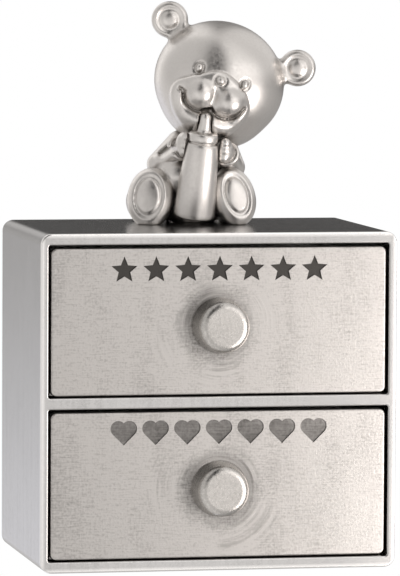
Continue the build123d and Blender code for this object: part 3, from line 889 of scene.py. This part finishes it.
# %% Mouth, nose and eyes
lip_masses = (((-2.15, -8.75, -2.25), (2.5, 2.6, 2.6)), ((2.4, -8.8, -2.1), (2.45, 2.55, 2.4)))
mouth_left = arc_points((-4.8, -2.85), (-1.9, -4.95), (0.14, -3.95))
mouth_right = arc_points((0.14, -3.95), (2.5, -4.6), (4.7, -2.7))
mouth_path = np.concatenate([mouth_left, mouth_right[1:]])
mouth_corners = (((-4.8, -2.85), (-5.4, -2.75)), ((4.7, -2.7), (4.9, -2.2)))
mouth_ends, mouth_fade = (-5.2, 4.8), 0.8
jaw_step, jaw_step_height, lip_fade = 0.75, 1.0, 0.2
cleft_line = ((0.14, -4.0), (-0.1, -1.0))
nose_middle, nose_radii, nose_ring_radius = (0.04, -10.35, 0.58), (0.72, 0.85, 0.66), 0.88
eye_middle, eye_radii = (3.75, -8.45, 1.25), (0.5, 0.5, 0.68)
eye_ring_radius, eye_ring_narrowing = 0.92, 0.78
face_start, face_fade = 6.0, 1.5


def with_mouth(head, points):
    """The head with the step under the mouth, the lips, the cleft and the line of the mouth."""
    x, z = points[..., 0], points[..., 2]
    front = in_front(points, face_start, face_fade)
    below = np.maximum(np.interp(x, mouth_path[:, 0], mouth_path[:, 1]) - z, 0)
    from_left = np.clip((x - mouth_ends[0]) / mouth_fade, 0, 1)
    from_right = np.clip((mouth_ends[1] - x) / mouth_fade, 0, 1)
    fading = np.clip(below / lip_fade, 0, 1) * np.exp(-((below / jaw_step_height) ** 2))
    head = head + front * from_left * from_right * jaw_step * fading
    lips = join(*[oval(points, *mass) for mass in lip_masses], softness=0.15)
    head = join(head, lips, softness=0.4)
    head = head + front * groove(line_gap(x, z, *cleft_line), width=0.42, depth=0.35)
    mouth = np.minimum(path_gap(x, z, mouth_left), path_gap(x, z, mouth_right))
    for corner in mouth_corners:
        mouth = np.minimum(mouth, line_gap(x, z, *corner))
    return head + front * groove(mouth, width=0.3, depth=0.6)


def with_nose(head, points):
    """The head with a bead for the nose, in a faint ring."""
    out = np.hypot(points[..., 0] - nose_middle[0], points[..., 2] - nose_middle[2])
    ring = np.abs(out - nose_ring_radius)
    head = head + in_front(points, face_start, face_fade) * groove(ring, width=0.25, depth=0.12)
    return join(head, oval(points, nose_middle, nose_radii), softness=0.12)


def with_eyes(head, points):
    """The head with two upright beads, each in a ring-shaped groove."""
    across, up = np.abs(points[..., 0]) - eye_middle[0], points[..., 2] - eye_middle[2]
    ring = np.abs(np.hypot(across / eye_ring_narrowing, up) - eye_ring_radius)
    head = head + in_front(points, start=6.5, fade=1.0) * groove(ring, width=0.2, depth=0.2)
    mirrored = np.stack([np.abs(points[..., 0]), points[..., 1], points[..., 2]], axis=-1)
    return join(head, oval(mirrored, eye_middle, eye_radii), softness=0.12)


print("the mouth is", round(float(np.ptp(mouth_path[:, 0])), 1), "mm wide")

# %% [markdown]
# The head is an oval, a little wider than it is high, with a fuller jaw to one side of the middle. The
# pieces of the face are added from the largest to the smallest, because each one is blended into what is
# there already. Last, room is made for the teat, which goes in under the lips.

# %% The head's rule
skull_radii = (10.2, 9.2, 9.5)
jaw = ((0.7, 0.2, -4.8), (6.9, 6.6, 5.0))
chin = ((0.2, -6.9, -5.9), (4.2, 3.0, 2.2))
teat_room_radii = (1.2, 1.0)


def head_shape(points):
    """Distance to the head, in its own upright frame."""
    head = join(oval(points, (0, 0, 0), skull_radii), oval(points, *jaw), softness=2.0)
    head = join(head, ear_shape(points), softness=1.1)
    muzzle = join(muzzle_shape(points), oval(points, *chin), softness=0.9)
    head = join(head, muzzle, softness=0.1)
    head = with_mouth(head, points)
    head = with_nose(head, points)
    head = with_eyes(head, points)
    teat = limb(points, teat_low, teat_room_radii[0], teat_high, teat_room_radii[1])
    return remove(head, teat, softness=0.3)


print("the head is", 2 * skull_radii[0], "mm wide without its ears")

# %% [markdown]
# The bear sits with its legs out in front. A foot is an oval with its front sliced off softly, which
# leaves the round rim that the photograph shows, and a grooved pad is pressed into the sole. The two feet
# differ a little in width and in turn, as they do on the casting, so each has its own values.

# %% Legs
foot_turns = {-1: (-15.0, 3.0), 1: (15.0, -14.0)}
foot_lean = -12.0
foot_middles = {-1: (-6.95, -8.6, 4.5), 1: (6.95, -8.6, 4.75)}
foot_half_widths = {-1: 3.65, 1: 3.45}
foot_half_depth, foot_half_height, foot_rim_softness = 3.5, 4.75, 1.9
foot_oval_middle = (0, 2.0, 0)
pad_narrowing = {-1: 0.69, 1: 0.61}
pad_groove, pad_rim = (3.0, 0.34, 0.24), (3.85, 0.35, 0.1)
pad_crown, pad_tilt, pad_radius = 0.12, 0.07, 2.7
hip, hip_radius = (6.4, 1.2, 3.1), 3.6
ankle, ankle_radius = (6.7, -5.0, 3.2), 2.9


def turn_matrix(axis, degrees):
    """A turn about an axis, for rows of points."""
    return np.array(Matrix.Rotation(radians(degrees), 3, axis), "f4")


def mirror(place, side):
    """A place given for the side at the viewer's right, or the same place on the other side."""
    return (side * place[0], place[1], place[2])


def leg_shape(points, side):
    """Distance to one leg, with its rimmed sole and pad."""
    splay, roll = foot_turns[side]
    turned = turn_matrix("Z", splay) @ turn_matrix("X", foot_lean) @ turn_matrix("Y", roll)
    local = (points - np.asarray(foot_middles[side], "f4")) @ turned
    x, y, z = local[..., 0], local[..., 1], local[..., 2]
    half_sizes = (foot_half_widths[side], foot_half_depth, foot_half_height)
    foot = remove(oval(local, foot_oval_middle, half_sizes), y, foot_rim_softness)
    out = np.hypot(x / pad_narrowing[side], z)
    sole = in_front(local, start=-1.6, fade=0.5)
    pressed, raised = (groove(out - middle, *size) for middle, *size in (pad_groove, pad_rim))
    foot = foot + sole * (pressed - raised)
    foot = foot - sole * (pad_crown + pad_tilt * z) * np.clip(1 - (out / pad_radius) ** 2, 0, 1)
    thigh = limb(points, mirror(hip, side), hip_radius, mirror(ankle, side), ankle_radius)
    return join(foot, thigh, softness=0.9)


print("feet", [2 * width for width in foot_half_widths.values()], "mm wide")

# %% [markdown]
# The arms come round to the bottle. Each is a taper to the elbow and another to the paw, with a soft cuff
# round the wrist and three small round toes along the bottle. The arm at the viewer's left shows its
# crook, a hollow between upper arm and forearm, so a short line is pressed into that one.

# %% Arms
shoulders = {-1: (-1.5, 0.2, 12.0), 1: (5.2, 0.2, 11.0)}
elbows = {-1: (-4.95, -2.6, 9.1), 1: (6.5, -2.2, 8.7)}
paws = {-1: (-1.35, -8.5, 12.5), 1: (5.0, -8.5, 11.6)}
upper_arm_radii, forearm_radii = (2.4, 1.95), (1.75, 1.2)
paw_radii = (1.3, 1.4, 1.95)
cuff_before_paw, cuff_radius, cuff_thickness = 1.7, 1.6, 0.45
crook_line, crook_width, crook_depth = ((-4.7, 10.6), (-3.4, 11.6)), 0.5, 0.6
toe_count, toe_spacing, toe_radius = 3, 1.2, 0.78
toe_inward, toe_forward = 0.15, 0.8


def arm_shape(points, side):
    """Distance to one arm, from the shoulder to the toes."""
    shoulder, elbow, paw = shoulders[side], elbows[side], paws[side]
    arm = limb(points, shoulder, upper_arm_radii[0], elbow, upper_arm_radii[1])
    forearm = limb(points, elbow, forearm_radii[0], paw, forearm_radii[1])
    arm = join(arm, forearm, softness=0.15)
    arm = join(arm, oval(points, paw, paw_radii), softness=0.3)
    wrist_way = np.asarray(paw, "f4") - np.asarray(elbow, "f4")
    wrist_way /= np.linalg.norm(wrist_way)
    local = points - (np.asarray(paw, "f4") - cuff_before_paw * wrist_way)
    height = local @ wrist_way
    out = np.linalg.norm(local - height[..., None] * wrist_way, axis=-1)
    arm = join(arm, np.hypot(out - cuff_radius, height) - cuff_thickness, softness=0.15)
    if side < 0:
        crook = line_gap(points[..., 0], points[..., 2], *crook_line)
        arm = arm + in_front(points, start=0.0, fade=1.5) * groove(crook, crook_width, crook_depth)
    outward = np.array((-side * toe_inward, -toe_forward, 0.0))
    for index in range(toe_count):
        step = (index - (toe_count - 1) / 2) * toe_spacing
        toe = np.asarray(paw) + along_bottle * step + outward
        arm = join(arm, ball(points, toe, toe_radius), softness=0.35)
    return arm


print("paws at", [height for across, deep, height in paws.values()], "mm above the roof")

# %% [markdown]
# The body is a pear with a round belly and a small tail. Legs and arms are blended in, then room is made
# for the bottle and for the head, and everything below the roof is cut away. Making room lets the three
# castings lie close together, as they seem to on the real bear.

# %% The body's rule
torso_masses = (((0.3, 0.3, 5.4), (5.9, 5.3, 6.6)), ((1.8, 0.2, 11.0), (4.5, 4.0, 4.6)))
belly = ((-1.9, -4.2, 7.3), (3.5, 3.5, 3.5))
tail_middle, tail_radius = (0.2, 6.0, 2.3), 1.6
bottle_room_radii, bottle_neck_share = (3.2, 2.5), 0.8
casting_gap = 0.05


def bottle_room(points):
    """Distance to the space that the bottle takes."""
    neck = bottle_foot + bottle_way * bottle_neck_share
    return limb(points, bottle_foot, bottle_room_radii[0], neck, bottle_room_radii[1])


def body_shape(points):
    """Distance to torso, legs and arms, in the figure's own frame."""
    torso = join(*[oval(points, *mass) for mass in torso_masses], softness=2.5)
    torso = join(torso, oval(points, *belly), softness=0.8)
    body = join(torso, ball(points, tail_middle, tail_radius), softness=0.4)
    for side in (-1, 1):
        body = join(body, leg_shape(points, side), softness=0.35)
    arms = np.minimum(arm_shape(points, -1), arm_shape(points, 1))
    body = join(body, arms, softness=0.45)
    body = remove(body, bottle_room(points) - casting_gap, softness=0.1)
    skull = oval(in_head(points), (0, 0, 0), np.add(skull_radii, casting_gap))
    body = remove(body, skull, softness=0.7)
    return np.maximum(body, -points[..., 2])


print("the torso is", 2 * torso_masses[0][1][0], "mm wide")

# %% [markdown]
# A made mesh comes in millimetres and in its own frame. One function sets it in its place in metres, and
# another puts it in the scene: it rides on a body, takes a slot's finish and stands for a node, which
# stays in the frame. One place for these steps keeps them alike for every piece.

# %% Putting a piece in the scene
def placed_mesh(name, points, faces, place):
    """A mesh from points in millimetres, set in its place in metres."""
    mesh = bpy.data.meshes.new(name)
    mesh.from_pydata([tuple(map(float, point)) for point in points], [], faces.tolist())
    mesh.transform(Matrix.Scale(MM, 4) @ place)
    return mesh


def add_piece(name, mesh, material, body, stands_for):
    """Put a finished mesh in the scene, riding on a body in place of a node."""
    mesh.polygons.foreach_set("use_smooth", [True] * len(mesh.polygons))
    mesh.materials.append(material)
    piece = bpy.data.objects.new(name, mesh)
    bpy.context.scene.collection.objects.link(piece)
    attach(piece, body)
    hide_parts(stands_for)
    print(name, len(mesh.vertices), "points,", len(mesh.polygons), "faces")
    return piece


# %% [markdown]
# Head and body are meshed in their own frames and then set on the roof, where the solids of the figure
# stand. Hollows are felt against the whole figure, so that the patina also lies where two castings meet.

# %% Head and body
figure_step = 0.2
teat_end_radius = 1.0


def whole_figure(points):
    """Distance to whatever part of the figure is nearest, in the figure's own frame."""
    bottle = limb(points, bottle_foot, bottle_room_radii[0], bottle_tip, teat_end_radius)
    return np.minimum(np.minimum(body_shape(points), head_shape(in_head(points))), bottle)


def figure_round_head(points):
    """The same distance, from points in the head's frame."""
    return whole_figure(out_of_head(points))


def cast_piece(name, shape, around, low, high, place, stands_for):
    """Mesh a distance rule, note where its hollows are, place it, and let it stand for a node."""
    points, faces = surface_net(shape, low, high, figure_step)
    points = settle(shape, points)
    mesh = placed_mesh(name, points, faces, place)
    hollows = hollow_at(shape, around, points)
    mesh.attributes.new("hollow", "FLOAT", "POINT").data.foreach_set("value", hollows)
    add_piece(name, mesh, figure_metal, "case", stands_for)


cast_piece(
    "sculpted_head", head_shape, figure_round_head, (-14.5, -12.5, -10.5), (14.5, 10.5, 10.5),
    figure_matrix @ head_matrix, "bear_head",
)
cast_piece(
    "sculpted_body", body_shape, whole_figure, (-12.5, -14.5, -0.6), (12.5, 9, 18), figure_matrix,
    "bear_body",
)

# %% [markdown]
# The bottle is a turned piece, like one from a lathe. Its outline, as radius and height, is spun round an
# axis that leans back towards the mouth. Blender's screw modifier would do it too, but bmesh's spin gives
# the finished mesh at once, with the ends welded shut.

# %% Bottle
bottle_base = [(0.0, 0.0), (2.5, 0.0), (2.9, 0.06), (3.12, 0.2), (3.22, 0.42), (3.24, 0.8)]
bottle_side = [(3.05, 4.5), (2.72, 9.0), (2.46, 11.2)]
neck_groove = [(2.38, 11.6), (2.25, 11.72), (2.05, 11.8), (2.0, 11.88), (2.05, 11.96), (2.22, 12.02)]
screw_cap = [(2.3, 12.15), (2.31, 12.5), (2.3, 12.95), (2.2, 13.25), (1.95, 13.4), (1.3, 13.46)]
teat = [(1.08, 13.6), (1.0, 14.0), (0.92, 14.8), (0.86, 15.6), (0.8, 16.1), (0.5, 16.5), (0.0, 16.6)]
bottle_outline = bottle_base + bottle_side + neck_groove + screw_cap + teat
bottle_segments = 72

bottle_mesh = bpy.data.meshes.new("turned_bottle")
form = bmesh.new()
spots = [form.verts.new((radius, 0, height)) for radius, height in bottle_outline]
edges = [form.edges.new(pair) for pair in zip(spots[:-1], spots[1:])]
bmesh.ops.spin(
    form, geom=spots + edges, cent=(0, 0, 0), axis=(0, 0, 1), angle=2 * pi, steps=bottle_segments
)
bmesh.ops.remove_doubles(form, verts=form.verts, dist=1e-4)
bmesh.ops.recalc_face_normals(form, faces=form.faces)
form.to_mesh(bottle_mesh)
form.free()
leaning = Vector(bottle_way).to_track_quat("Z", "Y").to_matrix().to_4x4()
bottle_place = figure_matrix @ Matrix.Translation(Vector(bottle_foot)) @ leaning
bottle_mesh.transform(Matrix.Scale(MM, 4) @ bottle_place)
add_piece("turned_bottle", bottle_mesh, figure_metal, "case", "feeding_bottle")

# %% [markdown]
# Cloth shows as a dull dark colour with a short nap. Velvet catches light at its edges, which the
# shader's sheen does, and felt is a little lighter and flatter. Two noises, one as fine as the fibres and
# one as broad as a fingertip, keep the black from looking flat.

# %% Velvet and felt
broad_scale, nap_range, fibre_contrast = 90.0, (0.15, 0.4), 2.6


def cloth(name, colour, sheen, nap):
    """A dull cloth with a short nap that catches light at its edges."""
    material, tree, shader = new_material(name)
    position = object_position(tree)
    fibre = noise(tree, position, nap, detail=5.0, roughness=0.7)
    share = calc(tree, "MULTIPLY", fibre, noise(tree, position, broad_scale))
    light = tuple(min(part * fibre_contrast, 1.0) for part in colour)
    mixed = blend(tree, span(tree, share, *nap_range, 0.0, 1.0), (*colour, 1), (*light, 1))
    tree.links.new(mixed, shader.inputs["Base Color"])
    shader.inputs["Roughness"].default_value = 0.95
    shader.inputs["Sheen Weight"].default_value = sheen
    shader.inputs["Sheen Roughness"].default_value = 0.4
    bump = node(tree, "ShaderNodeBump", Height=fibre, Strength=0.5, Distance=mark_height)
    tree.links.new(bump.outputs[0], shader.inputs["Normal"])
    print(name, len(tree.nodes), "nodes")
    return material


velvet = cloth("black_velvet", (0.012, 0.012, 0.014), sheen=0.35, nap=3200.0)
felt = cloth("black_felt", (0.02, 0.02, 0.023), sheen=0.15, nap=1900.0)

# %% [markdown]
# Three soft pieces are cut from cloth. The linings are cards covered in black velvet, a little crowned
# and soft at the rim, and lie loose on the drawer floors. The felt is a flat sheet, glued in its recess.
# A cloth simulation would leave such small flat pieces as they are, so a rule for a slab with a rounded
# edge, a crown and a slight unevenness gives their form.

# %% Linings and felt
unevenness, wave_closeness, margin_steps = 0.02, (0.9, 1.3), 2.2


def slab_shape(half_sizes, corner, edge, crown):
    """The rule of a flat cut piece with round corners and a soft rim, crowned by a small height."""
    half_x, half_y, half_z = half_sizes

    def shape(points):
        x, y, z = np.abs(points[..., 0]), np.abs(points[..., 1]), points[..., 2]
        lift = crown * np.clip(1 - (x / half_x) ** 4, 0, 1) * np.clip(1 - (y / half_y) ** 4, 0, 1)
        wave_x, wave_y = (np.sin(points[..., axis] * wave_closeness[axis]) for axis in (0, 1))
        waves = unevenness * wave_x * wave_y
        out_x, out_y = np.maximum(x - half_x + corner, 0), np.maximum(y - half_y + corner, 0)
        side = np.hypot(out_x, out_y) + np.minimum(np.maximum(x - half_x, y - half_y) + corner, 0)
        side = side - corner + edge
        face = np.maximum(z - half_z + crown - lift - waves * (crown > 0), -half_z - z) + edge
        rim = np.hypot(np.maximum(side, 0), np.maximum(face, 0)) - edge
        return rim + np.minimum(np.maximum(side, face), 0)

    return shape


def cut_piece(name, stands_for, body, material, corner, edge, crown, step):
    """Cut a piece of cloth to the size of the node that it stands for."""
    low, high = (np.array(spot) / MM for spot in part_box(stands_for))
    middle, half_sizes = (low + high) / 2, (high - low) / 2
    shape = slab_shape(half_sizes, corner, edge, crown)
    reach = half_sizes + margin_steps * step
    points, faces = surface_net(shape, -reach, reach, step)
    points = settle(shape, points) + middle
    mesh = placed_mesh(name, points, faces, Matrix.Identity(4))
    print(name, [round(float(2 * half), 2) for half in half_sizes], "mm")
    return add_piece(name, mesh, material, body, stands_for)


for place in ("upper", "lower"):
    velvet_pad = cut_piece(
        f"{place}_velvet_pad", f"{place}_drawer_lining", f"{place}_drawer", velvet,
        corner=0.8, edge=0.42, crown=0.12, step=0.25,
    )
felt_sheet = cut_piece(
    "felt_sheet", "base_felt", "case", felt, corner=1.4, edge=0.12, crown=0.0, step=0.2
)

# %% [markdown]
# The dressed part should fill the same box as its solids. The last line brings the scene up to date.

bpy.context.view_layer.update()
